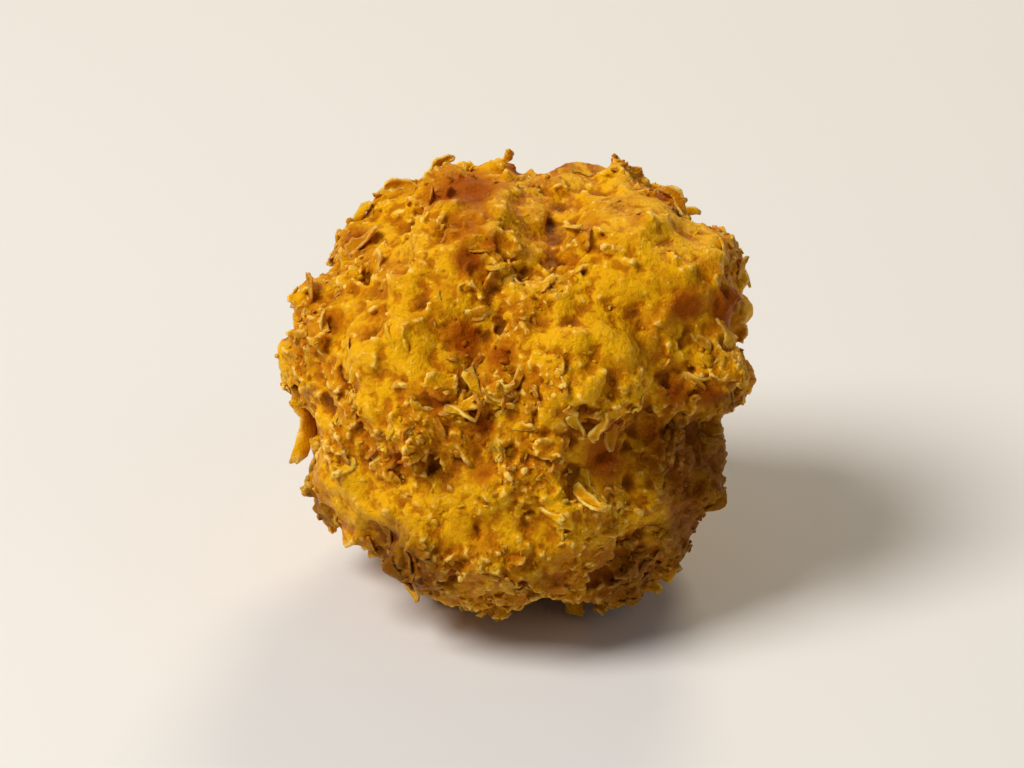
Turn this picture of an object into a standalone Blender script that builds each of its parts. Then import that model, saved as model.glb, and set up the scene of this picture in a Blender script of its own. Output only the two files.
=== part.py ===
"""A fried cauliflower floret: a head of rounded curds in a craggy crust of crumb flakes, one solid."""

import math
import random

import bmesh
import bpy
from mathutils import Matrix, Vector, noise
from mathutils.bvhtree import BVHTree

MM = 0.001

# The head: a round heart with the curds that bulge out of it, all measured from the heart's middle.
HEART_RADIUS = 18.6 * MM
CURD_BLEND = 0.9 * MM
HEAD_MIDDLE_HEIGHT = 21.2 * MM

# Each curd as millimetres across (+X), back (+Y) and up (+Z), and its radius.
TOP_CURDS = (
    (-4.5, -2.5, 13.4, 9.4),
    (12.8, -1.5, 11.6, 10.7),
    (-2.8, 6.5, 12.8, 9.2),
    (-10.4, 7.5, 9.4, 8.4),
    (9.5, 8.5, 11.4, 9.2),
)
FRONT_CURDS = (
    (-9.5, -9.5, 6.5, 9.2),
    (-15.5, -1.4, 5.0, 8.7),
    (5.5, -11.5, 8.0, 8.4),
    (17.4, -6.0, 5.2, 6.6),
    (-1.5, -8.8, -5.0, 14.2),
    (-11.5, -9.0, -4.0, 9.0),
    (13.0, -7.0, -5.0, 9.0),
    (8.2, -9.0, -11.4, 8.7),
)
BACK_CURDS = (
    (14.5, 8.0, 2.0, 9.0),
    (-14.0, 8.5, 1.0, 8.6),
    (-4.5, 14.5, 2.5, 9.0),
    (7.0, 13.0, -4.5, 9.6),
    (-7.5, 10.0, -8.0, 10.0),
    (13.0, 3.5, -9.0, 8.4),
    (-13.0, 0.0, -8.5, 8.4),
)
UNDER_CURDS = (
    (-3.0, -1.5, -11.0, 12.0),
    (4.5, 1.5, -11.0, 11.6),
)

# Hollows between the curds, as millimetres across, back and up, and their radius and depth.
HOLLOWS = (
    (8.4, -21.0, 2.5, 3.4, 2.6),
    (-4.6, -18.0, 14.4, 2.8, 1.7),
    (20.5, -10.5, 0.0, 3.2, 2.2),
    (2.8, -8.0, 19.5, 2.4, 0.9),
    (-14.5, 14.0, 12.0, 3.2, 2.2),
    (2.5, 21.0, 7.5, 3.0, 2.0),
    (19.0, 9.5, -9.0, 3.0, 2.0),
)

# The crust's own relief: broad crags over the curds, and crumb plates that each tilt their own way.
CRUST_SUBDIVISIONS = 6
CRAG_SIZE = 5.6 * MM
CRAG_DEPTH = 1.5 * MM
CRAG_MEAN = 0.45
PLATE_SIZE = 3.2 * MM
PLATE_STEP = 0.6 * MM
PLATE_TILT = 0.3
PLATE_SWAY = 0.35
PLATE_LEAN_SEED = 7.3
PLATE_STEP_SEED = 5.1
SWAY_OFFSETS = (Vector((17.0, 0.0, 0.0)), Vector((0.0, 31.0, 0.0)), Vector((0.0, 0.0, 53.0)))

# Sorts of crumb flake: how many, their length, thickness, and width as a share of the length.
# The rest are shares of a flake's length, for its lift, and of its thickness.
FLAKE_SORTS = (
    ("long", 90, 5.4 * MM, 1.15 * MM, 0.36),
    ("broad", 110, 4.4 * MM, 1.05 * MM, 0.6),
    ("short", 150, 2.9 * MM, 1.1 * MM, 0.7),
)
FLAKE_CORNERS = 7
FLAKE_LIFT = 0.34
FLAKE_RIM = 0.3
FLAKE_CROWN = 0.5
FLAKE_ROOT = 0.9
UNDERSIDE_SHARE = 0.94
FLAKE_TILT = math.radians(16.0)
FLAKE_SINK = 0.3
FLAKE_SEED = 21
FOOT_BARE_BELOW = 1.2 * MM

# Frying rounds the flakes off: the grain of that, and the triangles left in the solid.
MELT_GRAIN = 0.4 * MM
MOST_TRIANGLES = 11300

CRUST_COLOUR = (0.62, 0.27, 0.022, 1.0)
CRUST_ROUGHNESS = 0.55
GOLDEN_ANGLE = math.pi * (3.0 - math.sqrt(5.0))


def clear_scene():
    for obj in list(bpy.data.objects):
        bpy.data.objects.remove(obj)


def crust_material():
    material = bpy.data.materials.new("golden_crust")
    material.use_nodes = True
    shader = material.node_tree.nodes["Principled BSDF"]
    shader.inputs["Base Color"].default_value = CRUST_COLOUR
    shader.inputs["Roughness"].default_value = CRUST_ROUGHNESS
    shader.inputs["Metallic"].default_value = 0.0
    return material


def head_balls():
    """The heart and its curds as (middle, radius), in metres from the heart's middle."""
    balls = [(Vector((0.0, 0.0, 0.0)), HEART_RADIUS)]
    for across, back, up, radius in TOP_CURDS + FRONT_CURDS + BACK_CURDS + UNDER_CURDS:
        balls.append((Vector((across, back, up)) * MM, radius * MM))
    return balls


def head_distance(point, balls):
    """Distance from the point to the head's skin, with the grooves between curds rounded by CURD_BLEND."""
    gaps = [(point - middle).length - radius for middle, radius in balls]
    nearest = min(gaps)
    shares = sum(math.exp((nearest - gap) / CURD_BLEND) for gap in gaps)
    return nearest - CURD_BLEND * math.log(shares)


def head_reach(direction, balls):
    """How far the head's skin lies from its middle along a direction, walked in from outside."""
    far = 32.0 * MM
    close_enough = 0.01 * MM
    for _ in range(60):
        gap = head_distance(direction * far, balls)
        if gap < close_enough:
            break
        far -= gap
    return far


def hollow_depth(point):
    """How deep the hollows sink the crust at this point of the head's skin."""
    depth = 0.0
    for across, back, up, radius, deep in HOLLOWS:
        away = (point - Vector((across, back, up)) * MM).length / (radius * MM)
        depth += deep * MM * math.exp(-away * away)
    return depth


def crust_relief(point):
    """Height of the crust above the head: rounded crags, and crumb plates with steps between them."""
    crags = noise.turbulence(point / CRAG_SIZE, 2, False)
    at = point / PLATE_SIZE
    at += PLATE_SWAY * Vector([noise.noise(at + offset) for offset in SWAY_OFFSETS])
    plate = noise.voronoi(at)[1][0]
    lean = noise.cell_vector(plate * PLATE_LEAN_SEED) - Vector((0.5, 0.5, 0.5))
    step = noise.cell(plate * PLATE_STEP_SEED) - 0.5
    plates = PLATE_STEP * step + PLATE_TILT * PLATE_SIZE * lean.dot(at - plate)
    return CRAG_DEPTH * (crags - CRAG_MEAN) + plates - hollow_depth(point)


def make_crust(material):
    """The lobed head with its relief, as one object called fried_cauliflower."""
    balls = head_balls()
    shape = bmesh.new()
    bmesh.ops.create_icosphere(shape, subdivisions=CRUST_SUBDIVISIONS, radius=1.0)
    for vertex in shape.verts:
        direction = vertex.co.normalized()
        skin = direction * head_reach(direction, balls)
        vertex.co = skin + direction * crust_relief(skin)
        vertex.co.z += HEAD_MIDDLE_HEIGHT
    mesh = bpy.data.meshes.new("fried_cauliflower")
    shape.to_mesh(mesh)
    shape.free()
    mesh.materials.append(material)
    crust = bpy.data.objects.new("fried_cauliflower", mesh)
    bpy.context.scene.collection.objects.link(crust)
    return crust


def flake_mesh(name, length, thickness, share, draw):
    """A petal of crumb: a ragged rim round a raised middle, which curls up towards one end."""
    shape = bmesh.new()
    lift = FLAKE_LIFT * length * draw.uniform(0.3, 1.3)
    narrow = share * draw.uniform(0.8, 1.2)
    top_rim = []
    under_rim = []
    for corner in range(FLAKE_CORNERS):
        angle = 2.0 * math.pi * (corner + draw.uniform(-0.25, 0.25)) / FLAKE_CORNERS
        out = length / 2.0 * draw.uniform(0.78, 1.12)
        x = out * math.cos(angle)
        y = out * math.sin(angle) * narrow
        rise = lift * (0.5 + x / length) ** 2
        above = rise + FLAKE_RIM * thickness
        below = rise - FLAKE_RIM * thickness
        top_rim.append(shape.verts.new((x, y, above)))
        under_rim.append(shape.verts.new((UNDERSIDE_SHARE * x, UNDERSIDE_SHARE * y, below)))
    top = shape.verts.new((0.0, 0.0, 0.2 * lift + FLAKE_CROWN * thickness))
    under = shape.verts.new((0.0, 0.0, -FLAKE_ROOT * thickness))
    for corner in range(FLAKE_CORNERS):
        after = (corner + 1) % FLAKE_CORNERS
        shape.faces.new((top, top_rim[corner], top_rim[after]))
        shape.faces.new((under, under_rim[after], under_rim[corner]))
        shape.faces.new((top_rim[corner], under_rim[corner], under_rim[after]))
        shape.faces.new((top_rim[corner], under_rim[after], top_rim[after]))
    mesh = bpy.data.meshes.new(name)
    shape.to_mesh(mesh)
    shape.free()
    return mesh


def spread_directions(count, turn):
    """Evenly spread directions, wound round the head from top to bottom."""
    for step in range(count):
        height = 1.0 - 2.0 * (step + 0.5) / count
        level = math.sqrt(1.0 - height * height)
        angle = GOLDEN_ANGLE * step + turn
        yield Vector((level * math.cos(angle), level * math.sin(angle), height))


def flake_place(hit, normal, thickness, draw):
    """A matrix that lays a flake on the crust, turned any way and tilted a little."""
    side = normal.orthogonal().normalized()
    side.rotate(Matrix.Rotation(draw.uniform(0.0, 2.0 * math.pi), 3, normal))
    up = normal.copy()
    up.rotate(Matrix.Rotation(draw.uniform(-1.0, 1.0) * FLAKE_TILT, 3, side))
    turned = Matrix((side, up.cross(side), up)).transposed()
    at = hit - normal * FLAKE_SINK * thickness
    return Matrix.Translation(at) @ turned.to_4x4()


def scatter_flakes(crust):
    """Lays every sort of flake over the crust and returns the collection that holds them."""
    draw = random.Random(FLAKE_SEED)
    skin = BVHTree.FromPolygons(
        [vertex.co for vertex in crust.data.vertices],
        [polygon.vertices for polygon in crust.data.polygons],
    )
    middle = Vector((0.0, 0.0, HEAD_MIDDLE_HEIGHT))
    flakes = bpy.data.collections.new("flakes")
    bpy.context.scene.collection.children.link(flakes)
    for sort, count, length, thickness, share in FLAKE_SORTS:
        turn = draw.uniform(0.0, 2.0 * math.pi)
        for number, direction in enumerate(spread_directions(count, turn)):
            wander = Vector([draw.uniform(-0.12, 0.12) for _ in range(3)])
            outward = (direction + wander).normalized()
            hit, normal, _, _ = skin.ray_cast(middle, outward)
            if hit.z < FOOT_BARE_BELOW:
                continue
            lay = (normal + outward).normalized()
            size = length * draw.uniform(0.8, 1.2)
            name = f"{sort}_flake_{number:03d}"
            flake = bpy.data.objects.new(name, flake_mesh(name, size, thickness, share, draw))
            flake.data.transform(flake_place(hit, lay, thickness, draw))
            flakes.objects.link(flake)
    return flakes


def apply_modifiers(obj):
    """Replaces the object's mesh by its evaluated one and drops the modifiers."""
    bpy.context.view_layer.update()
    graph = bpy.context.evaluated_depsgraph_get()
    made = bpy.data.meshes.new_from_object(obj.evaluated_get(graph))
    obj.modifiers.clear()
    obj.data = made


def fuse(crust, flakes):
    """Joins the flakes to the crust as one skin, and removes them."""
    join = crust.modifiers.new("fuse_flakes", "BOOLEAN")
    join.operation = "UNION"
    join.operand_type = "COLLECTION"
    join.collection = flakes
    join.solver = "MANIFOLD"
    apply_modifiers(crust)
    for flake in list(flakes.objects):
        bpy.data.objects.remove(flake)
    bpy.data.collections.remove(flakes)


def melt(crust):
    """Rounds off the flakes' edges and fills the slits behind them, as frying does."""
    skin = crust.modifiers.new("melt", "REMESH")
    skin.mode = "VOXEL"
    skin.voxel_size = MELT_GRAIN
    soft = crust.modifiers.new("soften", "SMOOTH")
    soft.iterations = 1
    apply_modifiers(crust)


def thin_out(crust):
    """Takes triangles out where the crust is flattest, down to MOST_TRIANGLES."""
    crust.data.calc_loop_triangles()
    thin = crust.modifiers.new("thin_out", "DECIMATE")
    thin.ratio = min(1.0, MOST_TRIANGLES / len(crust.data.loop_triangles))
    thin.use_collapse_triangulate = True
    apply_modifiers(crust)


def flatten_foot(crust):
    """Cuts the crust off at the level that it rests on, which leaves a flat spot."""
    shape = bmesh.new()
    shape.from_mesh(crust.data)
    everything = shape.verts[:] + shape.edges[:] + shape.faces[:]
    cut = bmesh.ops.bisect_plane(
        shape, geom=everything, plane_co=(0.0, 0.0, 0.0), plane_no=(0.0, 0.0, 1.0), clear_inner=True
    )
    rim = [item for item in cut["geom_cut"] if isinstance(item, bmesh.types.BMEdge)]
    bmesh.ops.edgeloop_fill(shape, edges=rim)
    bmesh.ops.triangulate(shape, faces=shape.faces[:])
    shape.to_mesh(crust.data)
    shape.free()


def keep_largest_shell(crust):
    """Drops loose scraps and the walls of sealed hollows, so that one closed shell is left."""
    shape = bmesh.new()
    shape.from_mesh(crust.data)
    left = set(shape.verts)
    shells = []
    while left:
        shell = set()
        front = [left.pop()]
        while front:
            vertex = front.pop()
            shell.add(vertex)
            for edge in vertex.link_edges:
                other = edge.other_vert(vertex)
                if other in left:
                    left.remove(other)
                    front.append(other)
        shells.append(shell)
    shells.sort(key=len)
    for shell in shells[:-1]:
        bmesh.ops.delete(shape, geom=list(shell), context="VERTS")
    shape.to_mesh(crust.data)
    shape.free()


def centre_on_foot(crust):
    """Moves the mesh so that the middle of its outline, seen from above, is the origin."""
    xs = [vertex.co.x for vertex in crust.data.vertices]
    ys = [vertex.co.y for vertex in crust.data.vertices]
    shift = Vector((-(min(xs) + max(xs)) / 2.0, -(min(ys) + max(ys)) / 2.0, 0.0))
    crust.data.transform(Matrix.Translation(shift))


def main():
    clear_scene()
    material = crust_material()
    crust = make_crust(material)
    flakes = scatter_flakes(crust)
    fuse(crust, flakes)
    melt(crust)
    keep_largest_shell(crust)
    thin_out(crust)
    flatten_foot(crust)
    keep_largest_shell(crust)
    centre_on_foot(crust)


main()
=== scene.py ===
"""The looks of a fried cauliflower floret: a craggy crust with flakes fused into it, and loose crumbs."""

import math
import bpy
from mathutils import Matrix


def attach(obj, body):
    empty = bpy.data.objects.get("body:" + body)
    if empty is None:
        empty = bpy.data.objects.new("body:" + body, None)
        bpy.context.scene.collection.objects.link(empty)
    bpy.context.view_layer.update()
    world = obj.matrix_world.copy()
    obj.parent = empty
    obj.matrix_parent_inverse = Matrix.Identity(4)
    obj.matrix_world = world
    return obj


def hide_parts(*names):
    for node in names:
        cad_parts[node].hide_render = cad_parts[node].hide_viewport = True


bl_info = {
    "name": "Fried Cauliflower Floret",
    "version": (1, 0, 0),
    "blender": (4, 5, 0),
    "location": "View3D > Sidebar > Floret",
    "description": "Builds the crust, the flakes and the crumbs of a fried cauliflower floret",
    "category": "Add Mesh",
}

from collections import namedtuple

import bpy
import numpy as np
from bpy.props import FloatProperty, FloatVectorProperty, IntProperty, PointerProperty
from mathutils import Matrix, Vector

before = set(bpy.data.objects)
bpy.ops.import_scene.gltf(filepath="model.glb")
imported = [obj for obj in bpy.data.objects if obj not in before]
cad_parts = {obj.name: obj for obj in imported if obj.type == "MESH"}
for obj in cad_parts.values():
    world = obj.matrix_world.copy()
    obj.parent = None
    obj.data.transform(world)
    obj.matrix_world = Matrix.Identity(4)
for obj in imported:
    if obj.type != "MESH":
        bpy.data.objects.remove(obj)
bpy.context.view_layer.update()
CAD_NODE = "fried_cauliflower"
BODY = "root"

MM = 0.001
PER_MM = 1000.0

# The camera's axes, where a ray towards the head starts, and how much depth counts in a place's radius.
HEAD_MIDDLE = Vector((0.0, 0.0, 21.2)) * MM
VIEW_MIDDLE = Vector((0.0, 0.0, 0.0215))
CAMERA_RISE = math.radians(28.0)
TOWARDS_CAMERA = Vector((0.0, -math.cos(CAMERA_RISE), math.sin(CAMERA_RISE)))
PICTURE_RIGHT = Vector((1.0, 0.0, 0.0))
PICTURE_UP = PICTURE_RIGHT.cross(-TOWARDS_CAMERA)
REACH_OUT = 40.0 * MM
DEPTH_SHARE = 0.35

# The crust's meshes: how near doubles merge, the smoothing of each skin, and the triangles that stay.
MERGE_DISTANCE = 0.005 * MM
BATTER_SMOOTHING = 5
CRUST_SMOOTHING = 2
MOST_TRIANGLES = 196000

# The batter's relief: sizes and heights in millimetres, and waves for each millimetre. The tilt is a slope,
# and each wander is its waves and its reach.
WANDERS = ((0.5, 3.0), (1.7, 0.9))
PLATE_SIZE = 2.3
PLATE_TILT = 0.30
PLATE_STEP = 0.5
RIDGE_RUN = (0.6, 2.6)
BLISTER_WAVES = 0.36
BLISTER_RUN = (0.75, 0.15)
BLISTER_HEIGHT = 0.28
LET_DOWN = 0.5
CREASE_WAVES = 0.75
GRAIN_WAVES = 1.7
GRAIN_SHARE = 0.6

# What is left of the ruffles, the grain and the crumbs where the batter is plump, as shares.
RUFFLES_ON_PLUMP = 0.12
GRAIN_ON_PLUMP = 0.85
CRUMBS_ON_PLUMP = 0.06

# How the patches of ruffled crust are drawn, and the heights between which crumbs thin out at the floor.
PLUMP_PULL = 0.30
CRUMBED_PUSH = 0.22
RUFFLED_RUN = (0.42, 0.60)
CLEAR_OF_FLOOR = (1.2 * MM, 3.0 * MM)

# Passes of blur: for the normals that flakes stand on, and for what the relief is measured from.
BATTER_BLUR = 10
CRUST_BLUR = 40
RISE_BLURS = {"edge_rise": 3, "fine_rise": 16, "broad_rise": 160}

# What all the fried surfaces share: the bump, the shine, and how far light wanders under the skin.
BUMP_STRENGTH = 0.8
BUMP_HEIGHT = 0.2 * MM
SHINE_LEVEL = 0.2
TOAST_ROUGHNESS = 0.2
GLOW_COLOURS = (1.0, 0.42, 0.08)
GLOW_DEPTH = 0.7 * MM

# A flake's form, as shares of its length or width, and how one kind differs from the next.
DROOP = 0.22
SWERVE = 0.13
RAGGED = 0.16
END_WIDTH = 0.4
HOLLOWED = 0.25
ARCHED = -0.3
GUTTERS = (-0.25, 0.2, -0.3, 0.3, -0.2, -0.35)
LIFTS = (0.1, 0.12, 0.2, 0.25, 0.12, 0.3)
SHORTEST = 0.85
WIDEST = 1.15
KIND_STEP = 0.06
KIND_TWIST = 0.25

# The flakes of the photograph: the thickness and the clearance in millimetres, and how far past the outline
# the middle of one lies, as a share of its length.
SHOWN_THICKNESS = 0.3
SHOWN_CLEARANCE = 0.12
SHOWN_CUTS = (8, 4)
SHOWN_TWIST = 0.3
STANDS_OUT = 0.3

# The least and the most that copies are scaled, what the crumbs are like, and where the random draws start.
FUSED_SIZES = (0.7, 1.25)
LOOSE_SIZES = (0.65, 1.25)
CRUMB_SIZES = (0.5, 1.3)
CRUMB_KINDS = 5
CRUMB_FORM = (1.25, 0.95, 0.75)
CRUMB_RAGGED = 0.22
CRUMB_LEAN = 1.5
CRUMB_SINK = 0.1
LOOSE_SEEDS = 1000
CRUMB_SEEDS = 2000
SEEDS_PER_SORT = 100
KIND_SEEDS_PER_SORT = 10

# The stage, in metres and watts: each light's name, place, width, power and colour.
LIGHTS = (
    ("key", (-0.42, -0.22, 0.62), 0.36, 6.0, (1.0, 0.97, 0.93)),
    ("fill", (0.55, -0.35, 0.40), 0.5, 0.3, (1.0, 1.0, 1.0)),
    ("rim", (0.15, 0.60, 0.50), 0.25, 2.4, (1.0, 0.86, 0.62)),
)
ROOM_STRENGTH = 0.14
FLOOR_WIDTH = 6.0
SENSOR_WIDTH = 36.0
NEAREST_SEEN = 0.05

# Places in the picture, from the head's middle: millimetres to the right and up, the radius and the
# strength.
# Toasted spots, and painted shadow in the toasted colours under the right ledge and on the shaded lower
# right lobe.
SHOWN_TOAST_AND_SHADOW = (
    (-5.0, 19.5, 3.9, 0.9),
    (-4.6, 16.0, 3.0, 0.5),
    (-4.3, 12.5, 1.5, 1.0),
    (-2.0, 14.2, 1.5, 0.6),
    (-4.6, 4.6, 2.2, 0.8),
    (-1.2, 3.0, 1.4, 0.75),
    (1.5, 22.6, 1.6, 0.6),
    (5.0, 22.2, 1.8, 0.6),
    (8.0, 22.6, 1.2, 0.5),
    (11.5, 22.6, 1.2, 0.4),
    (20.0, 17.0, 1.2, 0.4),
    (-15.6, 14.8, 2.2, 0.6),
    (-17.5, 7.1, 1.3, 0.5),
    (-20.9, 3.3, 1.6, 0.35),
    (15.1, 19.4, 2.0, 0.6),
    (17.4, 8.2, 2.0, 0.85),
    (21.8, 8.0, 2.3, 1.0),
    # Painted shadow under the right ledge.
    (16.3, -0.5, 1.8, 0.7),
    (19.7, -0.9, 1.6, 0.7),
    (9.3, -7.0, 2.6, 0.75),
    (10.0, -4.2, 1.8, 0.75),
    (-7.5, -1.3, 1.6, 0.7),
    (-2.9, -3.8, 1.5, 0.8),
    (-11.2, -7.1, 1.8, 0.6),
    (-2.9, -8.8, 1.4, 0.6),
    (4.2, -19.7, 2.4, 0.4),
    (-10.8, -19.7, 1.6, 0.7),
    (-17.5, -13.4, 1.5, 0.5),
    (14.0, -4.5, 1.6, 0.6),
    # Painted shade on the lower right lobe, redder.
    (17.5, -11.0, 3.5, 0.4),
)
# Painted shade, where shade falls: on the lower lobes, in folds and at the right ledge; the last place also
# darkens a dark dot.
SHOWN_SHADE = (
    (19.0, -8.0, 7.0, 1.0),
    (18.0, -14.5, 5.5, 1.0),
    (12.5, -19.5, 6.0, 0.8),
    (21.5, -1.5, 2.6, 0.7),
    (20.5, 3.0, 2.2, 0.5),
    (13.0, -6.0, 3.0, 0.55),
    (-19.0, -12.0, 4.0, 0.65),
    (-6.0, -8.0, 4.0, 0.4),
    (2.0, -20.0, 6.0, 0.4),
    (-10.5, -18.0, 5.0, 0.9),
    (-4.3, 12.5, 1.2, 0.5),
)
SHOWN_PLUMP = (
    (-11.5, 3.7, 4.2, 1.0),
    (-9.5, 8.5, 3.0, 0.8),
    (13.4, 11.7, 6.0, 1.0),
    (17.5, 14.5, 4.0, 0.8),
    (10.9, 3.3, 3.4, 0.9),
    (-4.2, 17.8, 4.0, 0.6),
    (1.5, 17.0, 3.2, 1.0),
    (4.0, -4.0, 2.8, 0.8),
    (12.1, -13.5, 2.0, 0.4),
    (-16.0, -11.7, 3.0, 0.7),
    (-8.0, -16.0, 3.4, 0.5),
    (2.0, -14.5, 3.0, 0.5),
    (6.0, 8.5, 2.6, 0.5),
    (-14.0, 8.0, 4.5, 0.8),
    (-10.5, 15.0, 3.6, 0.8),
    (8.5, 18.0, 4.5, 0.9),
)
SHOWN_CRUMBED = (
    (-3.0, -3.0, 5.0, 1.0),
    (3.0, -4.5, 4.0, 0.6),
    (-9.0, -3.5, 3.6, 0.9),
    (-21.0, 3.5, 3.4, 0.6),
    (-15.5, 13.0, 2.6, 0.9),
    (-8.0, -18.5, 4.0, 0.9),
    (12.5, -16.5, 3.5, 0.9),
    (3.0, 0.5, 3.4, 0.7),
    (20.0, 2.5, 3.0, 0.8),
    (1.0, 9.5, 2.4, 0.6),
    (-10.5, -19.5, 3.0, 0.9),
    (8.0, -21.5, 3.0, 0.7),
    (-2.0, -22.0, 3.0, 0.7),
    (18.0, 18.5, 2.4, 0.8),
    (3.0, 22.0, 2.6, 0.7),
    (11.5, 22.5, 2.6, 0.6),
    (22.5, 13.0, 2.4, 0.6),
)

# Places where the crust swells: millimetres to the right and up, the radius and the height.
SHOWN_SWELLS = (
    (-7.0, 21.8, 3.2, 1.6),
    (-4.0, 23.0, 2.6, 0.9),
    (4.0, 22.0, 3.0, 1.6),
    (22.5, 12.0, 3.2, 1.8),
    (23.5, 7.5, 2.8, 1.6),
    (-18.6, 11.0, 3.0, 1.4),
    (2.0, 17.5, 3.5, 1.0),
    (4.2, 15.8, 1.6, 0.7),
    (4.5, -4.0, 3.0, 0.8),
    (10.5, 4.0, 3.0, 0.6),
    (8.5, -14.5, 3.6, 1.2),
    (-9.5, -16.5, 3.0, 0.9),
)

# Places on the sides that the photograph hides, from the head's middle: millimetres across, back and up,
# the radius and the strength.
HIDDEN_TOAST = (
    (2.0, 21.0, 8.0, 3.2, 0.7),
    (-14.0, 14.0, 10.0, 2.6, 0.7),
    (14.0, 17.0, 2.0, 2.0, 0.65),
    (-8.0, 20.0, -6.0, 2.6, 0.7),
    (20.0, 9.0, -8.0, 2.6, 0.7),
    (-20.0, 4.0, -8.0, 3.0, 0.7),
    (6.0, 16.0, -14.0, 3.0, 0.7),
)
# Painted shade on the hidden sides, mostly low down and towards the back.
HIDDEN_SHADE = (
    (20.0, 6.0, -6.0, 6.0, 0.5),
    (0.0, 20.0, -10.0, 6.0, 0.5),
    (-18.0, 8.0, -8.0, 6.0, 0.5),
    (10.0, 18.0, 6.0, 4.0, 0.4),
)
HIDDEN_PLUMP = (
    (4.0, 12.0, 17.0, 5.0, 1.0),
    (-9.0, 19.0, 4.0, 4.5, 1.0),
    (12.0, 16.0, -8.0, 4.5, 1.0),
    (20.5, 4.0, 4.0, 4.0, 1.0),
    (-20.0, 8.0, 2.0, 4.0, 1.0),
)
HIDDEN_CRUMBED = (
    (0.0, 20.0, 0.0, 5.0, 0.9),
    (-12.0, 12.0, 15.0, 4.0, 0.8),
    (17.0, 12.0, 9.0, 4.0, 0.8),
)

# Flakes that the photograph shows: millimetres to the right and up in the picture from the head's middle,
# the length and width, the turn in the picture in degrees, and how far the far end lifts.
SHOWN_FLAKES = (
    (-24.8, -4.0, 7.0, 1.8, -92, 0.1),
    (7.6, -11.2, 4.4, 1.4, -28, 0.4),
    (3.4, -12.4, 4.2, 1.3, -15, 0.3),
    (15.0, -9.0, 2.8, 0.9, 60, 0.4),
    (8.8, -4.0, 3.4, 0.9, 70, 0.5),
    (-0.4, -6.3, 3.2, 1.0, 40, 0.6),
    (-13.4, 11.9, 3.4, 1.4, 60, 0.7),
    (-15.0, 14.5, 4.0, 1.4, 45, 0.5),
    (-17.0, 12.2, 3.4, 1.3, 80, 0.5),
    (-14.7, 18.6, 3.4, 1.2, 30, 0.4),
    (-12.8, 20.6, 3.4, 1.1, 25, 0.3),
    (-9.6, 21.6, 3.6, 1.0, 38, 0.2),
    (6.5, 21.8, 3.6, 0.9, -12, 0.2),
    (16.5, 18.6, 4.0, 0.9, -38, 0.2),
    (3.0, 10.2, 2.8, 1.0, 40, 0.5),
    (-2.4, 7.6, 4.6, 1.0, -6, 0.2),
    (9.3, -4.6, 3.4, 1.2, -60, 0.5),
    (7.6, -9.4, 3.6, 1.1, -60, 0.3),
    (-16.3, 18.6, 3.4, 0.9, 30, 0.3),
    (-7.9, 22.4, 3.0, 0.8, 42, 0.0),
    (-0.6, 23.0, 1.6, 0.8, 80, 0.0),
    (17.6, 18.6, 2.8, 0.8, -35, 0.0),
    (23.2, 11.6, 3.2, 0.8, 75, 0.2),
    (-11.5, -19.0, 4.0, 1.4, -60, 0.5),
    (-10.2, -20.6, 3.0, 1.1, -20, 0.4),
    (-12.6, -18.0, 2.6, 1.1, -100, 0.5),
    (-0.8, -22.4, 2.0, 1.6, -90, 0.1),
    (7.0, -22.2, 2.0, 1.6, -80, 0.1),
    (13.8, -20.6, 2.8, 1.4, -20, 0.4),
    (-3.5, -0.5, 4.2, 0.8, -40, 0.2),
    (-1.5, -1.2, 3.6, 0.8, -45, 0.3),
    (-5.0, -2.5, 3.4, 0.8, -30, 0.2),
    (0.8, -4.0, 3.0, 0.9, 20, 0.4),
    (-8.5, -2.0, 3.4, 0.9, -20, 0.3),
    (6.5, -3.5, 3.6, 1.2, 80, 0.3),
    (-21.6, 5.5, 2.2, 1.0, 80, 0.4),
    (-20.5, 3.0, 2.4, 0.9, 60, 0.4),
    (-19.0, 6.5, 2.2, 0.9, 70, 0.3),
    (21.3, 5.5, 3.2, 1.4, -30, 0.3),
    (19.5, 1.0, 4.5, 1.1, 15, 0.2),
)

# Sizes in millimetres, copies on each square millimetre of the roughest crust, the least distance between
# copies, the lean in radians, and how far a copy sinks in. No distance means that copies may touch.
Sort = namedtuple("Sort", "name length width thickness cuts density apart lean sink")
FUSED_SORTS = (
    Sort("fused_long", 3.2, 1.0, 0.42, (6, 2), 0.55, 0.6, 0.28, 0.16),
    Sort("fused_broad", 2.2, 1.6, 0.42, (4, 4), 0.32, 0.7, 0.34, 0.14),
    Sort("fused_small", 1.3, 0.9, 0.42, (3, 2), 0.30, 0.0, 0.5, 0.10),
)
LOOSE_SORTS = (
    Sort("long_flakes", 2.8, 0.7, 0.22, (6, 2), 0.10, 0.8, 0.35, 0.05),
    Sort("small_flakes", 1.2, 0.65, 0.2, (3, 2), 0.22, 0.0, 0.8, 0.05),
)


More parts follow.
